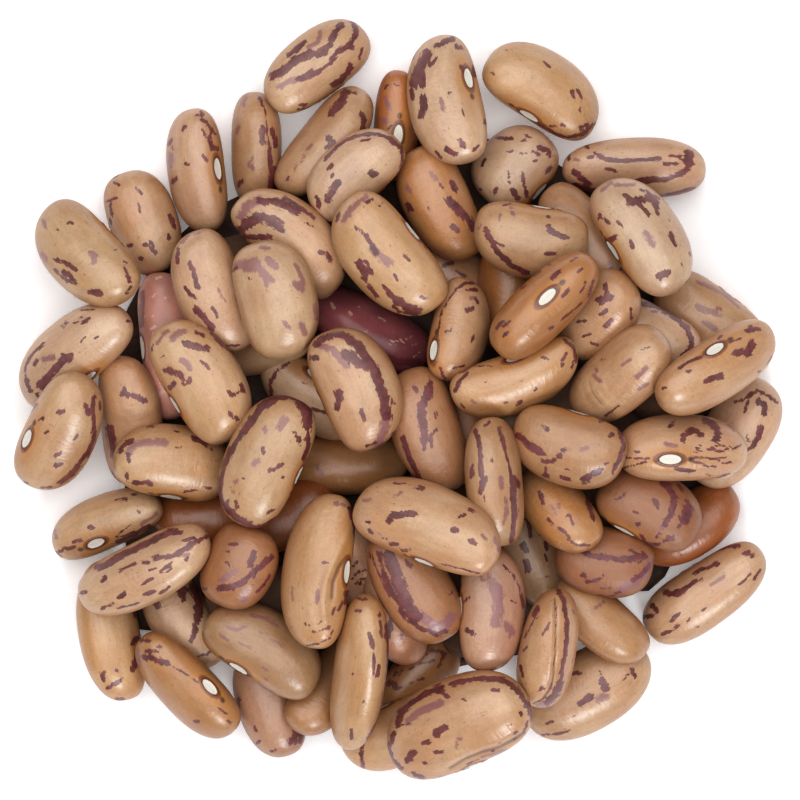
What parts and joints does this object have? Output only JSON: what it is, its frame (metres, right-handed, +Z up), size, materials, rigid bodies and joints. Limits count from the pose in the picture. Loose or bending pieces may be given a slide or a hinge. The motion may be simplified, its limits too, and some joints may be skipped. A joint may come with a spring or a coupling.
{
  "type": "heap of dried mottled beans",
  "caption": "Loose low heap of dried kidney-shaped beans with maroon mottling and pale scars, lying as poured on a bare flat surface.",
  "frame": {"origin": "middle of the heap's box, on the flat underside that rests on the ground", "axes": "+Z up, the heap's least extent; +X to the right and +Y up the picture as the heap is seen from straight above"},
  "size_m": [0.0928, 0.0918, 0.0266],
  "materials": {
    "bean_coat": "satin"
  },
  "bodies": {
    "root": {"bean_heap": "bean_coat"}
  },
  "joints": []
}
